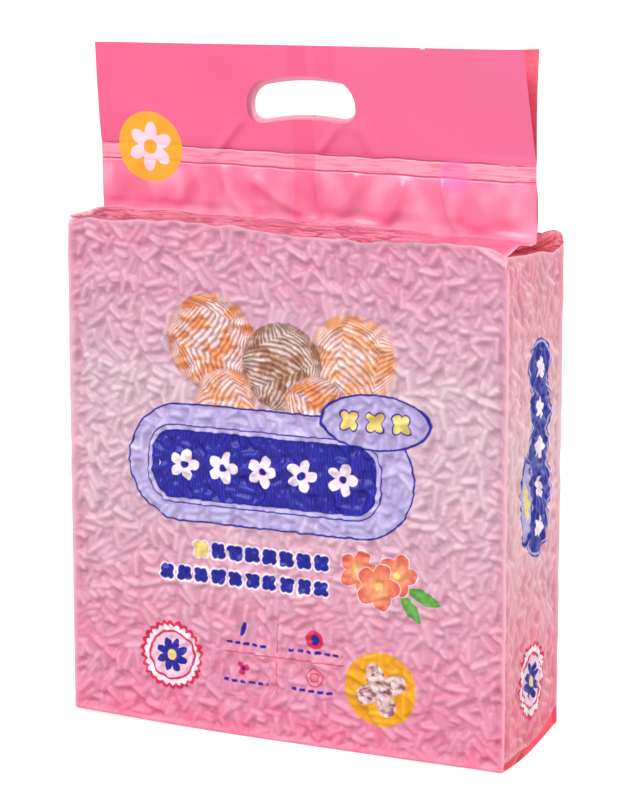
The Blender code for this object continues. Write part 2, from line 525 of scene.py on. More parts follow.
front_surface = litter_surface("front_left", "front_right", FINE, 40)
half_way = len(front_surface[0]) // 2
front_lower = litter_panel("front_panel_lower", *(part[: half_way + 1] for part in front_surface))
front_upper = litter_panel("front_panel_upper", *(part[half_way:] for part in front_surface))
right = litter_panel("right_gusset", *litter_surface("front_right", "back_right", FINE, 50))
back = litter_panel("back_panel", *litter_surface("back_right", "back_left", COARSE, 60))
left = litter_panel("left_gusset", *litter_surface("back_left", "front_left", FINE, 70))

# %% [markdown]
# ## The shoulders
#
# Above the block the front and back film fold in over the litter to meet at the neck. Nothing
# fills them there, so they wrinkle along their length, and their ends stick out as loose ears.
# The neck and the ears' edges come first, since the shoulders, tucks and header all end on them.

# %% Where the film is gathered
NECK_PLACES = (-137.5, -60, 0, 56, 91, 137.5)
NECK_HEIGHTS = (297.3, 296.6, 295.4, 294.0, 291.8, 290.8)


def header_lean(x):
    """How far behind the middle the header stands at the neck: more on the left."""
    return 4.5 * MM * (HALF_WIDTH - x) / WIDTH


def neck_line(x, depth):
    """y and z of the neck, where the front (-1) or back (1) film turns up into the header."""
    y = header_lean(x) + depth * (1.3 * MM + 0.4 * MM * waves(x, x, 30 * MM, 90 * MM, 81 + depth))
    z = np.interp(x / MM, NECK_PLACES, NECK_HEIGHTS) * MM
    swell = waves(x, x, 38 * MM, 90 * MM, 83) * ease(HALF_WIDTH - np.abs(x), 0, 20 * MM)
    return y, z + 0.8 * MM * swell


EAR_EDGE = {
    "front_left": ([0, 0.04, 0.25, 0.6, 1], [0, 4.5, 4.0, 1.5, 0]),
    "front_right": ([0, 0.13, 0.3, 0.43, 0.65, 0.83, 1], [0, 1.0, 2.4, 3.2, 1.1, -0.6, 0]),
    "back_right": ([0, 0.05, 0.14, 0.35, 0.6, 0.85, 1], [0, 4.0, 6.2, 7.4, 6.6, 5.2, 3.0]),
    "back_left": ([0, 0.3, 0.6, 1], [0, 2.0, 2.5, 0]),
}


def ear_lift(corner, t):
    """Extra height of an ear's loose edge, from the block's corner (t 0) to the neck (1)."""
    places, lifts = EAR_EDGE[corner]
    return np.interp(t, places, lifts) * MM


def ear_line(corner, t):
    """The loose edge of an ear, from the block's corner to the neck."""
    side, depth = CORNERS[corner]
    start_x, start_y = upright_fold(corner, TOP[corner] - FOOT[corner])
    neck_y, neck_z = neck_line(side * HALF_WIDTH, depth)
    x = start_x + (side * HALF_WIDTH - start_x) * t
    y = start_y + (neck_y - start_y) * t
    z = TOP[corner] + (neck_z - TOP[corner]) * ease(t, 0.0, 1.0) + ear_lift(corner, t)
    return np.stack((x, y, z), axis=-1)


def block_edge(first, last, s):
    """x, y and z along the upper edge of one of the block's walls."""
    z = top_line(first, last, s)
    rise = z - foot_line(first, last, s)
    x0, y0 = upright_fold(first, rise)
    x1, y1 = upright_fold(last, rise)
    return x0 + (x1 - x0) * s, y0 + (y1 - y0) * s, z


for corner in CORNERS:
    print(corner, "ear ends at", [round(float(value) / MM) for value in ear_line(corner, 1.0)])

# %% [markdown]
# A shoulder runs from the block's upper edge to the neck, and it sags between them. Its two ends
# are pulled onto the ears' loose edges, and the pull dies away over a few millimetres. Sculpting
# would be freer, but it couldn't promise that the edge meets the sheets beside it.

# %% Make the shoulders
EAR_FALLOFF = 6 * MM
SHOULDER_SAG = 2.2 * MM
SHOULDER_ROWS = 61


def add_shoulder(name, first, last, seed):
    """The film from the block's top edge to the neck."""
    sheet, s, t = add_sheet(name, round(WIDTH / COARSE) + 1, SHOULDER_ROWS)
    depth = CORNERS[first][1]
    edge_x, edge_y, edge_z = block_edge(first, last, s)
    neck_x = (s - 0.5) * WIDTH * CORNERS[last][0]
    neck_y, neck_z = neck_line(neck_x, depth)
    x = edge_x + (neck_x - edge_x) * t
    y = edge_y + (neck_y - edge_y) * t
    z = edge_z + (neck_z - edge_z) * ease(t, 0.5, 1.0)
    inside = np.sin(math.pi * t) * ease(np.minimum(s, 1 - s) * WIDTH, 0, 16 * MM)
    wrinkles = 0.7 * waves(x, y, 60 * MM, 8 * MM, seed, 9)
    wrinkles = wrinkles + 0.6 * waves(x, y, 24 * MM, 4 * MM, seed + 1, 9)
    z = z - SHOULDER_SAG * inside + MM * inside * wrinkles
    points = np.stack((x, y, z), axis=2)
    for corner, from_end in ((first, s), (last, 1 - s)):
        edge = ear_line(corner, t[:, 0])
        own = points[:, 0 if corner == first else -1]
        blend = np.exp(-from_end * WIDTH / EAR_FALLOFF)
        points = points + (edge - own)[:, None, :] * blend[:, :, None]
    place_points(sheet, points)
    # The ridge values mark the ears' edges, where the material paints a highlight.
    remember(sheet, "ridge", np.exp(-((np.minimum(s, 1 - s) * WIDTH / (1.8 * MM)) ** 2)))
    smooth(sheet)
    ride(sheet)
    return sheet


front_shoulder = add_shoulder("front_shoulder", "front_left", "front_right", 91)
back_shoulder = add_shoulder("back_shoulder", "back_right", "back_left", 95)

# %% [markdown]
# The side film has nowhere to go when the front and back close over the litter, so it tucks in
# between them. Half of it makes a floor over the litter, and the rest lines the ears from below.
# From the side this reads as a dark pocket under the ears. One grid makes all three parts: a
# point takes the floor's formula or the lining's, and along their creases the two agree.

# %% Tuck the gussets in
TUCK_DEPTH = DEPTH / 2 - 1 * MM
UNDER_EAR = np.array([0, 0, 0.4 * MM])


def add_tuck(name, first, last):
    """The top of a side's film, folded in as a floor over the litter and back as a lining."""
    columns, rows = 87, 45
    sheet, s, t = add_sheet(name, columns, rows)
    side = CORNERS[first][0]
    edge = np.stack(block_edge(first, last, s), axis=2)
    fold_y = header_lean(side * HALF_WIDTH)
    fold_z = neck_line(side * HALF_WIDTH, -1)[1] - 3 * MM
    fold = np.array([side * (HALF_WIDTH - TUCK_DEPTH), fold_y, fold_z])
    centre = edge[0, columns // 2]
    points = np.empty(edge.shape)
    for corner, share in ((first, 2 * s), (last, 2 - 2 * s)):
        loose = ear_line(corner, t) - UNDER_EAR
        neck_point = ear_line(corner, np.array(1.0)) - UNDER_EAR
        floor_part = edge + t[:, :, None] * (fold - centre)
        lining = loose + share[:, :, None] * (fold - neck_point)
        from_edge = share * TUCK_DEPTH
        sunk = ear_lift(corner, t) * (1 - np.exp(-from_edge / EAR_FALLOFF))
        sunk = sunk + SHOULDER_SAG * np.sin(math.pi * t) * ease(from_edge, 0, 16 * MM)
        lining[:, :, 2] -= sunk + 1 * MM * ease(from_edge, 0, 6 * MM)
        chosen = np.where((t < share)[:, :, None], floor_part, lining)
        points = np.where((share <= 1)[:, :, None], chosen, points)
    crumple = waves(points[:, :, 0], points[:, :, 1], 14 * MM, 9 * MM, 121)
    points[:, :, 2] += 0.4 * MM * crumple * np.minimum(t, 1 - t) * 2 * np.sin(math.pi * s)
    place_points(sheet, points)
    smooth(sheet, 35)
    ride(sheet)
    return sheet


right_tuck = add_tuck("right_tuck", "front_right", "back_right")
left_tuck = add_tuck("left_tuck", "back_left", "front_left")

# %% [markdown]
# ## The foot
#
# Under the litter the tube is folded shut like the end of a parcel. The film there has no white
# behind it, so it is deep crimson. It is blended from the feet of the four walls, as a patch
# between four curves, and it lies flat on the table inside them.

# %% Close the foot
def add_base():
    """The film under the litter, hung between the feet of the four walls."""
    sheet, s, t = add_sheet("folded_base", 139, 41)
    near_corner = dict(zip(CORNERS, ((1 - s) * (1 - t), s * (1 - t), s * t, (1 - s) * t)))
    x = y = corners = np.zeros(s.shape)
    for corner, share in near_corner.items():
        fold_x, fold_y = upright_fold(corner, np.zeros(s.shape))
        x, y = x + share * fold_x, y + share * fold_y
        corners = corners + share * FOOT[corner]
    front_z = foot_line("front_left", "front_right", s)
    back_z = foot_line("back_right", "back_left", 1 - s)
    left_z = foot_line("back_left", "front_left", 1 - t)
    right_z = foot_line("front_right", "back_right", t)
    edges = (1 - t) * front_z + t * back_z + (1 - s) * left_z + s * right_z
    from_side, from_front = np.minimum(s, 1 - s) * WIDTH, np.minimum(t, 1 - t) * DEPTH
    sunk = ease(from_side, 0, 25 * MM) * ease(from_front, 0, 12 * MM)
    z = (edges - corners) * (1 - sunk)
    place_points(sheet, np.stack((x, y, z), axis=2)[:, ::-1])
    smooth(sheet)
    ride(sheet)
    return sheet


base = add_base()

# %% [markdown]
# ## The header
#
# Front and back film rise from the neck, are pressed together by the seal, and part again above
# it, more on the right than on the left. Both layers and the gussets between them ask one
# function where the film is, which keeps them from running through each other. The soft folds
# are a table of straight ridges, each with its ends, its width and its rise in millimetres.

# %% Where the header's two layers are
NOTCH_X = 76 * MM
NOTCH_DEPTH = 2.2 * MM
NOTCH_HALF_WIDTH = 1.4 * MM
SEAL_SLOPE = 1.6 * MM / HALF_WIDTH


def rim_line(x, depth):
    """Height of the rim of the header's front (-1) or back (1) layer."""
    from_left = (x + HALF_WIDTH) / WIDTH
    uneven = 0.2 * MM * waves(x, x, 70 * MM, 200 * MM, 105 + depth)
    if depth > 0:
        return (392.6 + 3.0 * from_left**3) * MM + uneven
    notch = NOTCH_DEPTH * np.clip(1 - np.abs(x - NOTCH_X) / NOTCH_HALF_WIDTH, 0, 1)
    return (394.0 + 2.2 * from_left) * MM + uneven - notch


def above_seal(x, z):
    """Distance above the middle of the seal, which slopes down a little to the right."""
    return z - (SEAL_TOP + SEAL_BOTTOM) / 2 + SEAL_SLOPE * x


FOLDS = (
    (((-58, 335), (-45, 349), 2.6), 1.0),
    (((7.6, 337), (17, 348), 2.6), 0.9),
    (((33, 349), (40, 336), 4.5), 0.8),
    (((-110, 333), (-96, 352), 5.0), 0.6),
    (((-77, 319), (-86, 303), 4.5), 1.1),
    (((-56, 320), (-47, 299), 4.0), 1.2),
    (((-34, 316), (-9, 301), 4.0), 1.1),
    (((3.8, 322), (5.7, 296), 1.5), 1.0),
    (((29, 321), (20, 301), 5.0), 1.3),
    (((57, 318), (48, 299), 4.0), 1.2),
    (((82, 318), (88, 297), 2.0), 1.1),
    (((112, 319), (104, 300), 6.0), 0.8),
)


def fold_relief(x, z):
    """Soft folds in the front layer, as how far they stand out."""
    return sum(rise * MM * ridge_between(fold, x, z) for fold, rise in FOLDS)


def header_layer(x, z, depth):
    """y of the front (-1) or back (1) layer of the header."""
    from_left = (x + HALF_WIDTH) / WIDTH
    up = (z - NECK) / (HEIGHT - NECK)
    lean = (1 - from_left) * (4.5 - 9 * up) * MM
    over = above_seal(x, z)
    half_seal = (SEAL_TOP - SEAL_BOTTOM) / 2
    open_share = np.clip((over - half_seal) / (HEIGHT - SEAL_TOP), 0, 1.1)
    gape = (3 + 18 * from_left**1.3) * MM * open_share**1.08
    below = ease(z, NECK, NECK + 8 * MM) * (1 - ease(over, -half_seal - 10 * MM, -half_seal))
    pressed = 1 - ease(np.abs(over), half_seal - 1 * MM, half_seal + 6 * MM)
    swell = (1 - pressed) * waves(x, z, 48 * MM, 70 * MM, 101, 8)
    crumple = below * waves(x, z, 22 * MM, 40 * MM, 103, 9)
    y = lean + 0.8 * MM * swell
    if depth < 0:
        crease = np.exp(-(((np.abs(over) - half_seal) / (0.8 * MM)) ** 2))
        film = gape + 0.25 * MM + 0.7 * MM * below + 0.8 * MM * crumple - 0.4 * MM * crease
        return y - film - 1.5 * fold_relief(x, z)
    return y + 0.25 * MM + 0.9 * MM * below - 0.5 * MM * crumple - 0.05 * gape


gape_at_right = header_layer(HALF_WIDTH, HEIGHT, 1) - header_layer(HALF_WIDTH, HEIGHT, -1)
print("the mouth stands", round(float(gape_at_right) / MM), "mm open at the right")

# %% [markdown]
# ## The hand hole
#
# A die punches the hole through both layers while they lie flat. In a sheet of film it is the
# points near the outline that move onto it, and then the faces inside it are deleted, which
# leaves a clean edge without a Boolean. The back layer's hole is a little smaller, so a rim of
# it shows inside the front one.

# %% Punch the hand hole
HOLE_CENTRE = (-0.0040, 0.3654)
HOLE_HALVES = (0.0347, 0.0122)
HOLE_CORNER = 0.0112
HOLE_ARCH = 3.8
HOLE_TILT = 0.03
BACK_HOLE_RIM = 2.6 * MM


def to_hole(x, z, smaller):
    """Distance to a layer's hand hole: a slot with round ends, bent into an arch."""
    across = x - HOLE_CENTRE[0] - 0.4 * smaller
    up = z - HOLE_CENTRE[1] + HOLE_ARCH * across**2 - HOLE_TILT * across
    past_x = np.abs(across) - HOLE_HALVES[0] + HOLE_CORNER
    past_z = np.abs(up) - HOLE_HALVES[1] + HOLE_CORNER
    outside = np.hypot(np.maximum(past_x, 0), np.maximum(past_z, 0))
    return outside + np.minimum(np.maximum(past_x, past_z), 0) - HOLE_CORNER + smaller


def snap_to_hole(x, z, smaller, reach):
    """Moves the points that are nearly on the hole's outline onto it."""
    tiny = 0.01 * MM
    distance = to_hole(x, z, smaller)
    slope_x = (to_hole(x + tiny, z, smaller) - to_hole(x - tiny, z, smaller)) / (2 * tiny)
    slope_z = (to_hole(x, z + tiny, smaller) - to_hole(x, z - tiny, smaller)) / (2 * tiny)
    size = np.maximum(slope_x**2 + slope_z**2, 0.25)
    move = np.where(np.abs(distance) < reach, distance, 0) / size
    return x - slope_x * move, z - slope_z * move


def punch(sheet, smaller):
    """Deletes the faces inside the hole."""
    middles = np.empty(len(sheet.data.polygons) * 3)
    sheet.data.polygons.foreach_get("center", middles)
    middles = middles.reshape(-1, 3)
    inside = to_hole(middles[:, 0], middles[:, 2], smaller) < 0
    bpy.ops.object.select_all(action="DESELECT")
    bpy.context.view_layer.objects.active = sheet
    bpy.ops.object.mode_set(mode="EDIT")
    bpy.ops.mesh.select_mode(type="FACE")
    bpy.ops.mesh.select_all(action="DESELECT")
    bpy.ops.object.mode_set(mode="OBJECT")
    sheet.data.polygons.foreach_set("select", inside)
    bpy.ops.object.mode_set(mode="EDIT")
    bpy.ops.mesh.delete(type="FACE")
    bpy.ops.object.mode_set(mode="OBJECT")
    print(sheet.name, "loses", int(inside.sum()), "faces to the hand hole")


# %% [markdown]
# Each layer is a sheet between its two edges, the neck and its rim. The layers bend away from
# the neck over six millimetres, so that they start on the shoulders' own edge. The side film
# between them is one more sheet, folded in along its middle like a paper bag's.

# %% The header's layers
def header_edge(z, side):
    """x of the header's left (-1) or right (1) edge, which is drawn in a little above the neck."""
    up = np.clip((z - NECK) / (HEIGHT - NECK), 0, 1)
    drawn = 1.9 * MM * up if side < 0 else 1.2 * MM * np.sin(math.pi * up)
    return side * (HALF_WIDTH - drawn)


def add_header(name, depth, step):
    """The front (-1) or back (1) layer, from the neck to the rim, with its hand hole."""
    columns, rows = round(WIDTH / step) + 1, round((HEIGHT - NECK) / step) + 1
    sheet, s, t = add_sheet(name, columns, rows)
    x = (s - 0.5) * WIDTH * -depth
    neck_y, neck_z = neck_line(x, depth)
    z = neck_z + (rim_line(x, depth) - neck_z) * t
    left, right = header_edge(z, -1), header_edge(z, 1)
    x = left + (right - left) * (x + HALF_WIDTH) / WIDTH
    smaller = 0 if depth < 0 else BACK_HOLE_RIM
    x, z = snap_to_hole(x, z, smaller, 0.72 * step)
    y = header_layer(x, z, depth)
    y = y + (neck_y - y) * (1 - ease(z - neck_z, 0, 6 * MM))
    place_points(sheet, np.stack((x, y, z), axis=2))
    # The ridge values mark the fold at the neck, where the material paints a highlight.
    remember(sheet, "ridge", np.exp(-(((z - neck_z) / (1.2 * MM)) ** 2)))
    punch(sheet, smaller)
    return sheet


def add_header_gusset(name, side):
    """The side film folded in between the header's layers, from the neck to the rim."""
    sheet, s, t = add_sheet(name, 61, 90)
    edge = np.full(s.shape, side * HALF_WIDTH)
    neck_z = neck_line(edge, -1)[1]
    top_z = np.minimum(rim_line(edge, -1), rim_line(edge, 1)) - 0.5 * MM
    z = neck_z + (top_z - neck_z) * t
    edge = header_edge(z, side) - side * 0.2 * MM
    half_gap = (header_layer(edge, z, 1) - header_layer(edge, z, -1)) / 2
    fold_depth = np.sqrt(np.maximum(TUCK_DEPTH**2 - half_gap**2, 0))
    from_fold = np.abs(2 * s - 1)
    x = edge - side * fold_depth * (1 - from_fold)
    near, far = header_layer(x, z, -1), header_layer(x, z, 1)
    towards = np.where((s < 0.5) == (side > 0), -1, 1)
    y = (near + far) / 2 + towards * (far - near) / 2 * from_fold * 0.96
    place_points(sheet, np.stack((x, y, z), axis=2))
    return sheet


HEADER_STEP = 1.0 * MM
front_header = add_header("header_front", -1, HEADER_STEP)
back_header = add_header("header_back", 1, HEADER_STEP)
right_inner = add_header_gusset("header_gusset_right", 1)
left_inner = add_header_gusset("header_gusset_left", -1)
for sheet in (front_header, back_header, right_inner, left_inner):
    smooth(sheet, 50)
    ride(sheet)

# %% [markdown]
# ## Ink on film
#
# The print is laid on the film as an artist would lay paper cut-outs: each shape is a signed
# distance in millimetres, worked out by a few math nodes from the place on the bag. The distance
# is negative inside the shape, so one distance gives the fill, an outline or a halo. Each ink
# goes over the ones before. Nothing is an image, so the print stays sharp at any size. The first
# class only adds nodes, so that a formula reads as a formula.

# %% Nodes as formulas
class Nodes:
    """A film's material and the nodes that its formulas are made of."""

    def __init__(self, name, roughness):
        self.material = bpy.data.materials.new(name)
        self.material.use_nodes = True
        self.tree = self.material.node_tree
        self.shader = self.tree.nodes["Principled BSDF"]
        self.shader.inputs["Roughness"].default_value = roughness
        self.place = self.add("ShaderNodeTexCoord").outputs["Object"]

    def feed(self, socket, value):
        """Links a node's output to the socket, or writes a plain value into it."""
        if isinstance(value, bpy.types.NodeSocket):
            self.tree.links.new(value, socket)
        else:
            socket.default_value = value

    def add(self, kind, values=(), **settings):
        node = self.tree.nodes.new(kind)
        for name, value in settings.items():
            setattr(node, name, value)
        for socket, value in zip(node.inputs, values):
            self.feed(socket, value)
        return node

    def math(self, operation, *values, clamp=False):
        return self.add("ShaderNodeMath", values, operation=operation, use_clamp=clamp).outputs[0]

    def vector(self, operation, *values):
        node = self.add("ShaderNodeVectorMath", values, operation=operation)
        return node.outputs["Value" if operation in ("LENGTH", "DOT_PRODUCT") else "Vector"]

    def split(self, vector):
        return self.add("ShaderNodeSeparateXYZ", (vector,)).outputs

    def step(self, value, start, end):
        """0 where the value is before start and 1 past end; they may be in either order."""
        values = (value, start, end)
        return self.add("ShaderNodeMapRange", values, interpolation_type="SMOOTHSTEP").outputs[0]

    def noise(self, size, detail=2.0, seed=0.0):
        """Cloudy values around 0.5, with clouds of this size in millimetres across and up."""
        place = self.vector("DIVIDE", self.place, (size[0] * MM, size[-1] * MM, size[1] * MM))
        node = self.add("ShaderNodeTexNoise", (place,), noise_dimensions="4D")
        for socket, value in (("Scale", 1.0), ("Detail", detail), ("W", seed)):
            node.inputs[socket].default_value = value
        return node.outputs[0]

    def drift(self, size, detail, seed):
        """The same cloudy values, around 0."""
        return self.math("SUBTRACT", self.noise(size, detail, seed), 0.5)

    def remembered(self, name):
        """A value that the sheet keeps at its points."""
        return self.add("ShaderNodeAttribute", attribute_name=name).outputs["Fac"]

    def mix(self, share, first, second, blend="MIX"):
        node = self.add("ShaderNodeMix", data_type="RGBA", blend_type=blend)
        for place, value in ((0, share), (6, first), (7, second)):
            self.feed(node.inputs[place], value)
        return node.outputs[2]

    def ramp(self, value, stops):
        """Colours along a value; the stops are (value from 0 to 1, colour)."""
        node = self.add("ShaderNodeValToRGB", (value,))
        scale = node.color_ramp.elements
        while len(scale) < len(stops):
            scale.new(1.0)
        for element, (position, colour) in zip(scale, stops):
            element.position = position
            element.color = colour
        return node.outputs[0]


# %% [markdown]
# A film's colour starts plain, and each ink is mixed over it. The print wanders a little, since
# the flat print was sucked into creases with the film. Small bumps are left to the shader,
# because a mesh that fine would be millions of faces.

# %% Film that takes ink
INK_STRENGTH = 0.76
ACROSS = {0: (0, 1000), 2: (0, -1000), 1: (1, 1000), -1: (1, -1000)}


def shade(red, green, blue, strength=1.0):
    """A colour given as on a screen, 0 to 255, turned into what a shader needs."""
    return tuple(strength * (part / 255) ** 2.2 for part in (red, green, blue)) + (1.0,)


def tint(red, green, blue):
    """An ink's colour: even the palest ink gives back only a part of the light."""
    return shade(red, green, blue, INK_STRENGTH)


class Film(Nodes):
    """A film whose colour starts plain and has shapes of ink laid over it."""

    def __init__(self, name, roughness, seen_from):
        """seen_from is 1 or -1 for the sides facing +X or -X, and 0 or 2 for front or back."""
        super().__init__(name, roughness)
        axis, scale = ACROSS[seen_from]
        self.u = self.math("MULTIPLY", self.split(self.place)[axis], scale)
        self.v = self.math("MULTIPLY", self.split(self.place)[2], 1000)
        self.flat = self.add("ShaderNodeCombineXYZ", (self.u, self.v)).outputs[0]

    def wobble(self, amount, size):
        """Lets the print wander with the creases that the film was sucked into."""
        place = self.vector("DIVIDE", self.place, (size * MM,) * 3)
        noise = self.add("ShaderNodeTexNoise", (place,))
        noise.inputs["Scale"].default_value = 1.0
        shift = self.vector("SUBTRACT", noise.outputs["Color"], (0.5, 0.5, 0.5))
        shift = self.vector("MULTIPLY", shift, (amount, amount, 0))
        self.flat = self.vector("ADD", self.flat, shift)

    def inside(self, distance, grow=0.0, soft=0.25):
        """1 inside a shape that is grown or shrunk by a distance in millimetres."""
        slope, middle = -0.5 / soft, 0.5 + 0.5 * grow / soft
        return self.math("MULTIPLY_ADD", distance, slope, middle, clamp=True)

    def ink(self, mask, colour, strength=1.0):
        if strength != 1.0:
            mask = self.math("MULTIPLY", mask, strength)
        self.colour = self.mix(mask, self.colour, colour)

    def fill(self, distance, colour, grow=0.0, soft=0.25, within=None, strength=1.0):
        """Ink inside a shape, and only within a window's mask if there is one."""
        mask = self.inside(distance, grow, soft)
        if within is not None:
            mask = self.math("MULTIPLY", within, mask)
        self.ink(mask, colour, strength)

    def line(self, distance, width, colour, within=None):
        """Ink along a shape's edge."""
        self.fill(self.math("ABSOLUTE", distance), colour, grow=width / 2, within=within)

    def emboss(self, height, strength, depth):
        """Small bumps, without moving any points."""
        bump = self.add("ShaderNodeBump", (strength, depth))
        self.tree.links.new(height, bump.inputs["Height"])
        self.tree.links.new(bump.outputs[0], self.shader.inputs["Normal"])

    def glow(self, colour, strength):
        """A little light of its own, for light that comes through the film from behind."""
        self.shader.inputs["Emission Color"].default_value = colour
        self.shader.inputs["Emission Strength"].default_value = strength

    def cover(self, *sheets):
        """Puts the finished film on its sheets."""
        self.tree.links.new(self.colour, self.shader.inputs["Base Color"])
        for sheet in sheets:
            sheet.data.materials.append(self.material)
        print(self.material.name, "takes", len(self.tree.nodes), "nodes")


# %% [markdown]
# Five shapes are enough for the whole print: an ellipse, a rectangle with round corners, a
# flower or scalloped ring, a leaf, and a row that repeats any of them. Each helper returns the
# distance to its shape, and a row wraps the place itself, so that one shape is seen many times.

# %% Shapes of ink
def disc(film, centre, radii, flat=None):
    """Distance to an ellipse; one number gives a circle."""
    radii = radii if isinstance(radii, tuple) else (radii, radii)
    at = film.vector("SUBTRACT", flat or film.flat, (*centre, 0))
    at = film.vector("DIVIDE", at, (*radii, 1))
    return film.math("MULTIPLY", film.math("SUBTRACT", film.vector("LENGTH", at), 1), min(radii))


def slab(film, centre, halves, corner, flat=None):
    """Distance to a rectangle with round corners."""
    at = film.vector("SUBTRACT", flat or film.flat, (*centre, 0))
    at = film.vector("ABSOLUTE", at)
    at = film.vector("SUBTRACT", at, (halves[0] - corner, halves[1] - corner, 1))
    at = film.vector("MAXIMUM", at, (0, 0, 0))
    return film.math("SUBTRACT", film.vector("LENGTH", at), corner)


def rosette(film, centre, radius, count, depth, turn=0.0, flat=None, squash=1.0):
    """Distance to a flower or a scalloped ring with this many round petals."""
    at = film.vector("SUBTRACT", flat or film.flat, (*centre, 0))
    at = film.vector("MULTIPLY", at, (squash, 1, 0))
    p, q, _ = film.split(at)
    angle = film.math("MULTIPLY_ADD", film.math("ARCTAN2", q, p), count / 2, turn)
    lobes = film.math("ABSOLUTE", film.math("SINE", angle))
    edge = film.math("MULTIPLY_ADD", lobes, depth, radius - depth)
    return film.math("SUBTRACT", film.vector("LENGTH", at), edge)


def leaf(film, centre, length, width, turn):
    """Distance to a pointed leaf: the space where two discs overlap."""
    radius = (length**2 + width**2) / (4 * width)
    reach = radius - width / 2
    sides = []
    for way in (-reach, reach):
        middle = (centre[0] - way * math.sin(turn), centre[1] + way * math.cos(turn))
        sides.append(disc(film, middle, radius))
    return film.math("MAXIMUM", *sides)


def row(film, start, pitch):
    """The film's places, repeated every pitch millimetres across, starting from a middle."""
    u, v, _ = film.split(film.flat)
    wrapped = film.math("WRAP", film.math("SUBTRACT", u, start), pitch / 2, -pitch / 2)
    return film.add("ShaderNodeCombineXYZ", (wrapped, v)).outputs[0]


def stretch(film, first, last, height, half_height, corner):
    """A mask of the part of a row that is printed, from its first place to its last."""
    middle, half = (first + last) / 2, (last - first) / 2
    return film.inside(slab(film, (middle, height), (half, half_height), corner))


# %% [markdown]
# ## The front of the bag
#
# The film is pink all through, with a white layer behind it that is thinner near the top and the
# bottom, so the colour runs from pale lilac-pink in the middle to rose at the ends. The inks are
# named once, since both the front and the sides use them.

# %% Colours
DEEP_BLUE = tint(0, 0, 148)
HATCH_BLUE = tint(52, 48, 166)
LILAC = tint(182, 174, 218)
WHITE = tint(248, 240, 246)
RED = tint(214, 24, 76)
YELLOW = tint(236, 168, 10)
PALE_YELLOW = tint(240, 222, 120)
CORAL = tint(226, 106, 84)
PEACH = tint(246, 166, 112)
LEAF = tint(76, 162, 62)
PALE_LEAF = tint(120, 198, 84)
# Painted highlight along the upright folds, the block's upper edge and the corner pleat.
RIDGE_HIGHLIGHT_PINK = tint(236, 172, 190)
FRONT_STOPS = [
    (0.0, tint(234, 113, 144)),
    (0.07, tint(228, 131, 161)),
    (0.25, tint(224, 154, 173)),
    (0.45, tint(217, 180, 190)),
    (0.72, tint(215, 190, 195)),
    (0.88, tint(217, 160, 179)),
    (1.0, tint(221, 148, 170)),
]
SIDE_STOPS = [
    (0.0, tint(236, 98, 124)),
    (0.1, tint(237, 121, 143)),
    (0.3, tint(234, 160, 169)),
    (0.6, tint(233, 200, 202)),
    (0.85, tint(232, 160, 169)),
    (1.0, tint(228, 128, 146)),
]
print("the front's colour runs over", len(FRONT_STOPS), "stops")

# %% [markdown]
# Film over a gap lies deeper than film on a pellet, and the sheet's crest values say which is
# which.
# The gaps are painted darker and the crests paler: partly the film's colour over pale pellets, and
# partly painted shade in the gaps and painted light on the crests. This goes over the print as
# well, because the litter presses on both. Ambient occlusion would darken the gaps too, but an
# exported file couldn't carry it.

# %% Film pressed over litter
# Gap and crest colours: partly the film over pale pellets, partly painted shade and painted light.
GAP_TONE_AND_SHADE = shade(234, 219, 230)
SIDE_GAP_TONE_AND_SHADE = shade(228, 206, 214)
FLAT_TINT = shade(244, 240, 245)
CREST_TONE_AND_LIGHT = shade(254, 247, 250)


def panel_film(name, seen_from, stops, mottle):
    """A wall's film with its own colour, whose stops run up from the foot to the shoulder."""
    film = Film(name, 0.45, seen_from)
    film.shader.inputs["Specular IOR Level"].default_value = 0.28
    film.shader.inputs["Coat Weight"].default_value = 0.08
    film.shader.inputs["Coat Roughness"].default_value = 0.3
    up = film.math("DIVIDE", film.v, 1000 * SHOULDER)
    up = film.math("MULTIPLY_ADD", film.drift((60, 45), 1.0, 3.0), 0.12, up)
    film.colour = film.ramp(up, stops)
    film.ink(film.step(film.noise((14, 11), 2.0, 7.0), 0.35, 0.65), mottle, 0.25)
    return film


def press_over_litter(film, gap_tone_and_shade):
    """Paints shade in gaps and light on crests, with the pellets' colour, over the print; roughens
    film.
    """
    crest = film.remembered("crest")
    depth = film.math("MULTIPLY_ADD", film.drift((2.2, 1.6), 2.0, 1.0), 0.25, crest)
    # Painted shade in the gaps and painted light on the crests, with the pellets' paler colour.
    relief_colour_and_shade = film.ramp(depth, [(0.0, gap_tone_and_shade), (0.55, FLAT_TINT), (0.95, CREST_TONE_AND_LIGHT)])
    film.colour = film.mix(1.0, film.colour, relief_colour_and_shade, "MULTIPLY")
    # A painted highlight along the folds and the pleat, where the ridge values are high.
    film.ink(film.remembered("ridge"), RIDGE_HIGHLIGHT_PINK, 0.7)
    vein = film.step(film.math("ABSOLUTE", film.drift((8, 6), 1.5, 14.0)), 0.04, 0.004)
    crinkle = film.math("MULTIPLY_ADD", vein, 0.2, film.noise((3.6, 1.7), 3.0, 5.0))
    film.emboss(crinkle, 0.5, 0.7 * MM)


# %% [markdown]
# The picture in the middle of the front is a heap of wool balls. A ball of wool is a disc whose
# strands run over it like the lines on a globe: they crowd together near the rim, where the ball
# turns away. Two directions of strands share each ball, and speckled wool mixes two colours.

# %% Balls of wool
GINGER = (tint(178, 84, 40), tint(248, 172, 108), tint(255, 248, 244))
TABBY = (tint(96, 56, 38), tint(192, 142, 108), tint(246, 224, 206))
CREAM = (tint(196, 104, 58), tint(252, 198, 144), tint(255, 246, 236))
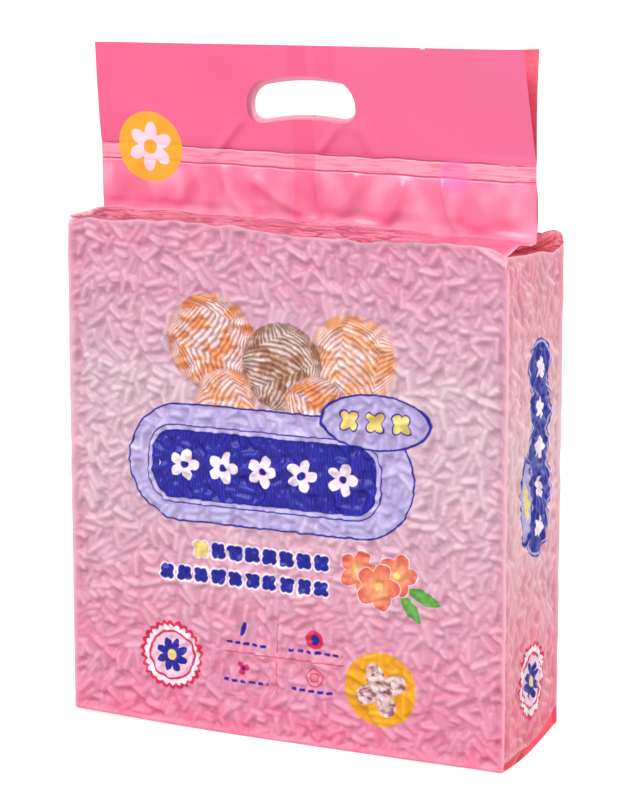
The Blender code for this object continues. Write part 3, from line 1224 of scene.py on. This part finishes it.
# Each ball's middle, its radius, its colours, the turn of its strands and its seed.
WOOL_BALLS = (
    ((-45, 229), 28, GINGER, 0.5, 1.0),
    ((44, 224), 27, CREAM, 2.2, 2.0),
    ((0, 218), 25, TABBY, 1.2, 4.0),
    ((-36, 194), 20, CREAM, 2.8, 5.0),
    ((22, 194), 20, GINGER, 0.2, 6.0),
)
RADIANS_PER_MM = 1.7


def strands(film, at, rounding, angle, bend, radius):
    """Waves of strands in one direction over a ball: 0 between two strands and 1 on one."""
    along = film.vector("DOT_PRODUCT", at, (math.cos(angle), math.sin(angle), 0))
    beside = film.vector("DOT_PRODUCT", at, (-math.sin(angle), math.cos(angle), 0))
    curved = film.math("MULTIPLY_ADD", film.math("POWER", beside, 2), bend, along)
    curved = film.math("DIVIDE", curved, rounding)
    wave = film.math("SINE", film.math("MULTIPLY", curved, RADIANS_PER_MM * radius))
    return film.math("MULTIPLY_ADD", wave, 0.5, 0.5)


def wool_ball(film, centre, radius, colours, turn, seed):
    dark, light, fleck = colours
    at = film.vector("SUBTRACT", film.flat, (*centre, 0))
    at = film.vector("DIVIDE", at, (radius, radius, 1))
    distance = film.vector("LENGTH", at)
    flatness = film.math("SUBTRACT", 1, film.math("POWER", distance, 2))
    height = film.math("SQRT", film.math("MAXIMUM", flatness, 0))
    rounding = film.math("MULTIPLY_ADD", height, 0.6, 0.4)
    first = strands(film, at, rounding, turn, 0.35, radius)
    second = strands(film, at, rounding, turn + 1.9, -0.3, radius)
    over = film.vector("DOT_PRODUCT", at, (math.cos(turn + 0.8), math.sin(turn + 0.8), 0))
    over = film.step(film.math("SINE", film.math("MULTIPLY_ADD", over, 3.6, seed)), -0.05, 0.05)
    strand = film.math("MULTIPLY_ADD", over, film.math("SUBTRACT", second, first), first)
    wool = film.mix(film.step(film.noise((11, 8), 3.0, seed), 0.42, 0.56), light, fleck)
    roundness = film.math("MULTIPLY_ADD", height, 0.5, 0.5)
    lit = film.math("MULTIPLY", film.math("MULTIPLY_ADD", strand, 0.75, 0.25), roundness)
    edge = film.math("MULTIPLY", film.math("SUBTRACT", distance, 1), radius)
    film.fill(edge, film.mix(lit, dark, wool), soft=0.4)


# %% [markdown]
# Below the wool a lilac banner carries a hatched blue panel with blossoms, and a small oval
# overlaps its corner. Under them stand two rows of lozenges. They are all the same few shapes:
# filled, outlined, and repeated along a row within the stretch that is printed.

# %% Banner, oval and lozenges
UPRIGHT = 1.57
LOZENGE_PITCH = 11.0
LOZENGES_END = 30.5


def banner(film):
    """A lilac panel with a hatched blue one inside it, and a row of white blossoms."""
    outer = slab(film, (-8, 158), (90, 34), 34)
    film.fill(outer, LILAC)
    pale = film.step(film.noise((12, 8), 2.0, 11.0), 0.45, 0.7)
    film.fill(outer, tint(214, 208, 234), grow=-1.0, within=pale, strength=0.7)
    film.line(outer, 1.1, DEEP_BLUE)
    inner = slab(film, (-12, 157), (71, 20), 14)
    film.fill(inner, tint(196, 188, 228), grow=2.4)
    film.line(film.math("SUBTRACT", inner, 2.6), 0.8, DEEP_BLUE)
    film.fill(inner, DEEP_BLUE)
    u, v, _ = film.split(film.flat)
    hatch = film.math("SINE", film.math("MULTIPLY_ADD", v, 0.35, film.math("MULTIPLY", u, 3.6)))
    film.fill(inner, HATCH_BLUE, grow=-1.5, within=film.step(hatch, 0.1, 0.9), strength=0.8)
    blossoms = row(film, -62, 25)
    printed = stretch(film, -78, 54, 157, 16, 4)
    petals = rosette(film, (0, 157), 9.6, 5, 5.0, UPRIGHT, flat=blossoms)
    film.fill(petals, WHITE, within=printed)
    film.fill(disc(film, (0, 157), 2.3, flat=blossoms), DEEP_BLUE, within=printed)


def small_oval(film):
    """A lilac oval with three yellow beads."""
    oval = disc(film, (58, 191), (33, 15.5))
    film.fill(oval, LILAC)
    film.line(oval, 1.1, DEEP_BLUE)
    bead = rosette(film, (0, 191), 6.4, 4, 3.0, flat=row(film, 42, 16))
    printed = stretch(film, 34, 82, 191, 9, 2)
    film.fill(bead, DEEP_BLUE, grow=1.0, within=printed)
    film.fill(bead, PALE_YELLOW, within=printed)


def lozenge_rows(film):
    """Two rows of small blue lozenges with white edges; the first one is yellow."""
    for height, start, radius in ((108, -52, 5.4), (93, -74, 5.2)):
        lozenge = rosette(film, (0, height), radius, 4, 1.6, flat=row(film, start, LOZENGE_PITCH))
        printed = stretch(film, start - LOZENGE_PITCH / 2, LOZENGES_END, height, 8, 1)
        film.fill(lozenge, WHITE, grow=1.2, within=printed)
        film.fill(lozenge, DEEP_BLUE, within=printed)
    film.fill(rosette(film, (-52, 108), 5.4, 4, 1.6), PALE_YELLOW)


# %% [markdown]
# The rest of the front is small emblems: blossoms with leaves beside the rows, four little marks
# between red rules, a flower in a scalloped ring, and a yellow badge with clear windows, through
# which the pellets themselves would be seen. Clear film can't show litter that isn't modelled,
# so the windows are filled with speckles of its colours.

# %% Blossoms, marks and badges
PELLET_COLOURS = [
    (0.38, tint(134, 84, 84)),
    (0.5, tint(214, 178, 176)),
    (0.62, tint(244, 226, 222)),
]


def blossoms_and_leaves(film):
    for centre, length, turn in (((88, 95), 22, -0.35), ((80, 88), 20, -0.9)):
        blade = leaf(film, centre, length, 8, turn)
        film.fill(blade, LEAF)
        film.fill(blade, PALE_LEAF, grow=-2.2, soft=1.6)
    for centre, radius in (((48, 106), 12.5), ((72, 106), 12.5), ((60, 98), 14)):
        petals = rosette(film, centre, radius, 5, radius * 0.36, UPRIGHT)
        film.fill(petals, WHITE, grow=0.5)
        film.fill(petals, CORAL)
        film.fill(disc(film, centre, radius * 0.55), PEACH, soft=radius * 0.3)
        film.fill(disc(film, centre, radius * 0.15), PALE_YELLOW, soft=0.5)


def small_marks(film):
    """Four small marks between thin red rules, each over a broken blue line."""
    film.fill(slab(film, (1, 50), (38, 0.3), 0.2), RED)
    for height in (61, 38):
        film.fill(slab(film, (-3, height), (0.3, 9), 0.2), RED)
    film.fill(leaf(film, (-25, 64), 10, 4, 1.2), DEEP_BLUE)
    film.fill(disc(film, (21, 63), 5.6), RED)
    film.fill(disc(film, (21, 63), (2.4, 3.2)), DEEP_BLUE)
    film.line(disc(film, (21, 41), 5.0), 0.8, RED)
    film.line(slab(film, (21, 41), (2.2, 2.2), 0.4), 0.7, RED)
    film.fill(rosette(film, (-25, 41), 4.6, 3, 2.6, 1.2), RED)
    film.fill(disc(film, (-25, 41), 1.6), DEEP_BLUE)
    for height, first, last in ((55.5, -36, -9), (55.5, 4, 38), (33, -38, -9), (33, 6, 34)):
        dash = slab(film, (0, height), (1.9, 0.9), 0.8, flat=row(film, first + 2, 5.6))
        film.fill(dash, DEEP_BLUE, within=stretch(film, first, last, height, 3, 0.5))


def flower_and_ring(film, centre, radius, squash=1.0):
    """A round emblem: a scalloped red ring, a white disc and a blue flower."""
    outer = rosette(film, centre, radius, 26, 1.8, squash=squash)
    film.fill(outer, RED)
    film.fill(outer, WHITE, grow=-2.4)
    ring = disc(film, centre, (radius * 0.68 / squash, radius * 0.68))
    film.fill(ring, tint(244, 206, 218))
    film.line(ring, 1.4, RED)
    film.fill(rosette(film, centre, radius * 0.5, 8, radius * 0.2, squash=squash), DEEP_BLUE)
    film.fill(disc(film, centre, (radius * 0.15 / squash, radius * 0.15)), PALE_YELLOW)


def window_badge(film, centre, radii):
    """A yellow badge with four round holes in the ink, through which the pellets show."""
    film.fill(disc(film, centre, radii), YELLOW)
    holes = rosette(film, centre, radii[0] * 0.72, 4, radii[0] * 0.4, 0.785)
    film.fill(holes, film.ramp(film.noise((5.0, 3.2), 2.0, 21.0), PELLET_COLOURS))


# %% [markdown]
# The front takes all the shapes, from the back to the front of the picture. The back of such a
# bag repeats the banner and the small print, and leaves out the picture. The white layer stops
# short of the upright folds, so the film is pinker beside them.

# %% The front and back films
def broad_film(name, seen_from):
    film = panel_film(name, seen_from, FRONT_STOPS, tint(208, 180, 200))
    film.ink(film.step(film.math("ABSOLUTE", film.u), 124, 137), tint(222, 130, 156), 0.3)
    film.wobble(1.1, 5.0)
    return film


def shared_print(film):
    """What the front and the back both carry below the banner."""
    lozenge_rows(film)
    small_marks(film)
    flower_and_ring(film, (-72, 43), 21)


front_film = broad_film("front_film", 0)
for ball in WOOL_BALLS:
    wool_ball(front_film, *ball)
banner(front_film)
small_oval(front_film)
shared_print(front_film)
blossoms_and_leaves(front_film)
window_badge(front_film, (62, 39), (22, 21.5))
press_over_litter(front_film, GAP_TONE_AND_SHADE)
front_film.cover(front_lower, front_upper)

back_film = broad_film("back_film", 2)
banner(back_film)
shared_print(back_film)
press_over_litter(back_film, GAP_TONE_AND_SHADE)
back_film.cover(back)

# %% [markdown]
# ## The gusseted sides
#
# The side film carries a narrow blue strip with wavy edges and a small emblem, which is squashed,
# since the gusset was printed flat. Low down, the printed film ends where the parcel fold comes
# round from under the foot, and that film is deep crimson. The sheet remembers how far each
# point is above that line, so the colour ends exactly where the film steps in.

# %% The side films
CRIMSON = tint(216, 16, 52)
# Painted shadow along the edge where the printed film overlaps the parcel fold.
PARCEL_LINE_SHADOW = tint(150, 20, 48)
STRIP_FOOT = 131
STRIP_PITCH = 22.5


def blue_strip(film, middle):
    """A strip of five overlapping discs, with a white blossom in each."""
    distance = slab(film, (middle, 176), (9, 55), 8)
    for step in range(5):
        disc_middle = (middle + (1.5 if step % 2 else -1.5), STRIP_FOOT + step * STRIP_PITCH)
        distance = film.math("MINIMUM", distance, disc(film, disc_middle, (13.5, 14.5)))
    film.fill(distance, LILAC, grow=1.8)
    film.line(film.math("SUBTRACT", distance, 1.8), 0.9, DEEP_BLUE)
    film.fill(distance, DEEP_BLUE)
    for step in range(5):
        centre = (middle, STRIP_FOOT + step * STRIP_PITCH)
        film.fill(rosette(film, centre, 6.4, 5, 3.0, UPRIGHT), WHITE)


def parcel_fold(film):
    """Crimson film below the line where the printed film ends, with painted shade in a slit under a
    lip.
    """
    below = film.remembered("above_parcel_line")
    from_front = film.math("DIVIDE", film.math("ADD", film.u, 1000 * HALF_DEPTH), 1000 * DEPTH)
    film.fill(below, CRIMSON, soft=0.3)
    flap = film.math("MAXIMUM", below, film.math("MULTIPLY_ADD", from_front, -60, 24))
    film.fill(flap, tint(240, 50, 80), grow=-0.8, soft=0.5)
    slit = film.math("SUBTRACT", film.v, film.math("MULTIPLY_ADD", from_front, 29, -3.8))
    front_part = film.math("MULTIPLY", film.step(from_front, 0.42, 0.34), film.inside(below, -0.8))
    # Painted shade in the slit, and a painted highlight on the lip beside it.
    film.fill(slit, tint(176, 4, 34), soft=0.4, within=front_part)
    film.line(slit, 0.7, tint(246, 120, 140), within=front_part)
    # Painted shadow along the line where the printed film ends.
    film.line(below, 0.5, PARCEL_LINE_SHADOW)


def side_film(name, seen_from, gusset):
    """A gusset's film; on the left side its print is mirrored."""
    film = panel_film(name, seen_from, SIDE_STOPS, tint(214, 186, 194))
    film.wobble(2.4, 5.0)
    blue_strip(film, 9 * seen_from)
    oval = disc(film, (-9 * seen_from, 148), (7, 24))
    film.fill(oval, LILAC)
    film.line(oval, 0.9, DEEP_BLUE)
    film.fill(disc(film, (-9 * seen_from, 148), (3, 10)), PALE_YELLOW)
    flower_and_ring(film, (2 * seen_from, 44), 23, 1.3)
    press_over_litter(film, SIDE_GAP_TONE_AND_SHADE)
    parcel_fold(film)
    film.cover(gusset)


side_film("right_film", 1, right)
side_film("left_film", -1, left)

# %% [markdown]
# ## Film without litter behind it
#
# The shoulders, the tucks and the foot have no print, and the film lies over film there, so it
# looks darker: rose on the shoulders and crimson in the folds. Light comes through it as well.
# Translucency would be the true way, but it needs many samples to be free of grain, so the film
# glows a little instead.

# %% The plain films
def plain_film(name, colours, roughness, bump_size, bump_depth):
    film = Film(name, roughness, 0)
    cloud = film.step(film.noise((20, 3), 4.0, 2.0), 0.36, 0.64)
    film.colour = film.mix(cloud, *colours)
    film.emboss(film.noise(bump_size, 3.0, 9.0), bump_depth, 1 * MM)
    return film


def crease_shade_and_highlight_lines(film, size, colour, strength):
    """Thin, irregular lines where a cloudy value crosses its middle: painted shade and light of
    creases.
    """
    crossing = film.math("ABSOLUTE", film.drift(size, 2.0, 17.0))
    film.ink(film.step(crossing, 0.05, 0.01), colour, strength)


shoulder_colours = (tint(176, 62, 88), tint(216, 118, 146))
shoulder_film = plain_film("shoulder_film", shoulder_colours, 0.3, (16, 2.2), 0.6)
# Dark lines are painted shade in the shoulders' wrinkles, pale lines painted highlights on them.
crease_shade_and_highlight_lines(shoulder_film, (26, 4), tint(130, 26, 52), 0.75)
crease_shade_and_highlight_lines(shoulder_film, (18, 2.4), tint(240, 170, 190), 0.4)
shoulder_film.ink(shoulder_film.step(shoulder_film.u, 40, 110), tint(226, 96, 134), 0.8)
# Painted highlight along the ears' loose edges.
shoulder_film.ink(shoulder_film.remembered("ridge"), tint(252, 178, 198), 0.8)
shoulder_film.glow(tint(240, 110, 140), 0.06)
shoulder_film.cover(front_shoulder, back_shoulder, left_tuck)

fold_colours = (tint(222, 76, 98), tint(250, 144, 158))
fold_film = plain_film("fold_film", fold_colours, 0.26, (7, 4), 0.5)
# Dark lines are painted shade in the folds' creases.
crease_shade_and_highlight_lines(fold_film, (8, 6), tint(170, 40, 60), 0.35)
fold_film.glow(tint(240, 84, 106), 0.1)
fold_film.cover(right_tuck, base)

# %% [markdown]
# ## The header's film
#
# The header is two smooth, glossy layers. Where the back's lap seam runs behind the front layer,
# the three layers together look darker, and the seal across the header is pressed paler. The
# seal's edges are creases, so a line of painted shade and a line of painted highlight run beside
# each other along both of them.

# %% The header films
HOT_PINK = tint(230, 84, 126)
WARM_PINK = tint(236, 102, 148)
DEEPER_PINK = tint(236, 72, 116)
PRESSED_PINK = tint(250, 168, 184)
SEAL_MIDDLE = 1000 * (SEAL_TOP + SEAL_BOTTOM) / 2
SEAL_HALF = 4.4
# Painted shade and highlight along the seal's creases: the places of the lines over the seal's
# middle, in millimetres, with their widths and colours.
SEAL_CREASE_SHADE_AND_HIGHLIGHT = (
    (4.5, 0.9, tint(186, 44, 88)),
    (3.7, 0.5, tint(252, 172, 192)),
    (-4.6, 0.9, tint(192, 50, 94)),
    (-5.5, 0.6, tint(250, 158, 184)),
)


def print_seal(film, slope):
    """The pressed band, with painted shade in its ripples and painted shade and highlight at its
    edges.
    """
    over = film.math("SUBTRACT", film.math("MULTIPLY_ADD", film.u, slope, film.v), SEAL_MIDDLE)
    over = film.math("MULTIPLY_ADD", film.drift((22, 30), 3.0, 6.0), 3.4, over)
    band = film.math("SUBTRACT", film.math("ABSOLUTE", over), SEAL_HALF)
    film.fill(band, PRESSED_PINK, soft=0.6, strength=0.6)
    # Painted shade for the seal's ripples.
    fine = film.step(film.noise((18, 1.6), 3.0, 8.0), 0.48, 0.62)
    film.fill(band, tint(226, 88, 130), soft=1.0, within=fine, strength=0.6)
    for middle, width, colour in SEAL_CREASE_SHADE_AND_HIGHLIGHT:
        film.line(film.math("SUBTRACT", over, middle), width, colour)


def header_film(name, seen_from):
    """A header layer's film: clouded pink, with painted fold reflections under the seal and neck
    highlight.
    """
    film = Film(name, 0.3, seen_from)
    film.colour = film.mix(film.step(film.u, -120, 120), HOT_PINK, WARM_PINK)
    film.ink(film.step(film.noise((70, 40), 2.0, 4.0), 0.35, 0.65), tint(236, 98, 144), 0.5)
    below = film.step(film.v, SEAL_MIDDLE + 2, SEAL_MIDDLE - 8)
    film.ink(below, tint(242, 114, 150), 0.7)
    # Painted reflections on the soft folds below the seal.
    fold_reflections = film.step(film.noise((15, 22), 0.5, 31.0), 0.38, 0.78)
    film.ink(film.math("MULTIPLY", fold_reflections, below), tint(250, 166, 192), 0.7)
    # Painted highlight along the fold at the neck.
    film.ink(film.remembered("ridge"), tint(250, 160, 186), 0.7)
    print_seal(film, SEAL_SLOPE if seen_from == 0 else -SEAL_SLOPE)
    return film


def seam_stripes(film):
    """The lap seam down the back, seen through the front."""
    film.fill(slab(film, (-4, 345), (6.6, 60), 0.5), DEEPER_PINK, soft=0.8, strength=0.5)
    film.fill(slab(film, (14, 388), (6, 12), 0.5), DEEPER_PINK, soft=1.5, strength=0.45)


# %% [markdown]
# A yellow badge with a flower sits on the left of the front layer, half over the seal, and a
# faint mark on the right shows from behind. The back layer is paler round its hand hole, where
# the light comes through a single layer.

# %% Print the header
BADGE_YELLOW = tint(244, 162, 14)


def flower_badge(film, centre, radii):
    film.fill(disc(film, centre, radii), BADGE_YELLOW)
    film.fill(rosette(film, centre, 14.5, 6, 7.0, 0.4), tint(248, 206, 222))
    film.fill(disc(film, centre, 4.2), BADGE_YELLOW)


front_header_film = header_film("header_front_film", 0)
seam_stripes(front_header_film)
ghost = disc(front_header_film, (88, 325), 9)
front_header_film.fill(ghost, tint(232, 100, 168), soft=1.6, strength=0.6)
flower_badge(front_header_film, (-104, 334), (21, 20.5))
front_header_film.cover(front_header)

back_header_film = header_film("header_back_film", 2)
seam_stripes(back_header_film)
rim = slab(back_header_film, (4, 364), (38, 15), 13)
back_header_film.fill(rim, tint(252, 160, 184), soft=0.5)
back_header_film.glow(tint(252, 130, 160), 0.14)
back_header_film.cover(back_header)

lining_colours = (tint(246, 92, 112), tint(248, 112, 134))
lining_film = plain_film("lining_film", lining_colours, 0.3, (20, 20), 0.2)
lining_film.cover(right_inner, left_inner)

# %% [markdown]
# ## Camera, table and light
#
# The camera stands to the right of the bag's middle and a little above it, with a long lens, so
# that upright edges stay nearly parallel. It is placed by two angles and a distance round a
# target, which are easier to adjust than a location and a rotation.

# %% The camera
AZIMUTH = math.radians(26.27)
ELEVATION = math.radians(10.27)
DISTANCE = 1.578
LENS = 124.4
TARGET = Vector((0.0058, 0, 0.1936))


def add_camera():
    """A camera that looks at the target from the angles above."""
    flat = math.cos(ELEVATION)
    towards = Vector((math.sin(AZIMUTH) * flat, -math.cos(AZIMUTH) * flat, math.sin(ELEVATION)))
    bpy.ops.object.camera_add(location=TARGET + towards * DISTANCE)
    camera = bpy.context.object
    camera.rotation_euler = towards.to_track_quat("Z", "Y").to_euler()
    camera.data.lens = LENS
    camera.data.sensor_width = 36
    bpy.context.scene.camera = camera
    print("camera at", [round(place, 3) for place in camera.location])


add_camera()

# %% [markdown]
# The bag stands on a light table: a large plane that glows a little, so that it stays white
# right up to the bag's foot and throws some light back onto it.

# %% The light table
TABLE_SIZE = 60
TABLE_GLOW = 0.8


def add_light_table():
    """The plane that the bag stands on, which is staging and not part of the bag."""
    bpy.ops.mesh.primitive_plane_add(size=TABLE_SIZE)
    table = bpy.context.object
    table.name = "light_table"
    paint = bpy.data.materials.new("light_table")
    paint.use_nodes = True
    shader = paint.node_tree.nodes["Principled BSDF"]
    shader.inputs["Base Color"].default_value = (0.25, 0.25, 0.25, 1)
    shader.inputs["Roughness"].default_value = 0.9
    shader.inputs["Emission Color"].default_value = (1, 1, 1, 1)
    shader.inputs["Emission Strength"].default_value = TABLE_GLOW
    table.data.materials.append(paint)
    table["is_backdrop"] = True
    print(table.name, "is", TABLE_SIZE, "m wide")


add_light_table()

# %% [markdown]
# Three softboxes stand far off: a strong one in front on the left, one at the right for the
# gusset, and one behind for the shoulders. The room is white near the horizon, which the camera
# sees as the backdrop, and dim overhead, so that the softboxes shape the relief.

# %% The lights
SOFTBOXES = (
    ("key_softbox", (-0.45, -0.8, 0.95), 3.8, 40),
    ("side_softbox", (1.0, -0.35, 0.55), 1.95, 50),
    ("back_softbox", (0.2, 1.0, 0.36), 2.3, 60),
)


def add_distant_softbox(name, direction, strength, spread):
    """A softbox so far away that all of the table gets the same light from it."""
    bpy.ops.object.light_add(type="SUN", location=Vector(direction) * 2)
    lamp = bpy.context.object
    lamp.name = name
    lamp.data.energy = strength
    lamp.data.angle = math.radians(spread)
    lamp.rotation_euler = Vector(direction).to_track_quat("Z", "Y").to_euler()


def light_room():
    """White around the horizon, dimmer from there upwards."""
    world = bpy.context.scene.world or bpy.data.worlds.new("studio")
    bpy.context.scene.world = world
    world.use_nodes = True
    nodes, links = world.node_tree.nodes, world.node_tree.links
    direction = nodes.new("ShaderNodeTexCoord").outputs["Generated"]
    height = nodes.new("ShaderNodeSeparateXYZ")
    brightness = nodes.new("ShaderNodeMapRange")
    for socket, value in (("From Min", 0.1), ("From Max", 0.3), ("To Min", 1.0), ("To Max", 0.15)):
        brightness.inputs[socket].default_value = value
    links.new(direction, height.inputs[0])
    links.new(height.outputs["Z"], brightness.inputs["Value"])
    links.new(brightness.outputs[0], nodes["Background"].inputs["Strength"])
    nodes["Background"].inputs["Color"].default_value = (1, 1, 1, 1)


for softbox in SOFTBOXES:
    add_distant_softbox(*softbox)
light_room()
bpy.context.scene.view_settings.view_transform = "Standard"
print(len(SOFTBOXES), "softboxes lit")

# %% [markdown]
# ## The size of it all
#
# Film that bulges over its litter reaches a little past the plain block of the CAD model. Both
# boxes are written down, so that the difference can be checked, and it should be millimetres.

# %% Check the size and finish
for corner, cad_corner in zip(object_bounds(), cad_box):
    print("past the CAD box in mm:", [round((a - b) / MM, 1) for a, b in zip(corner, cad_corner)])
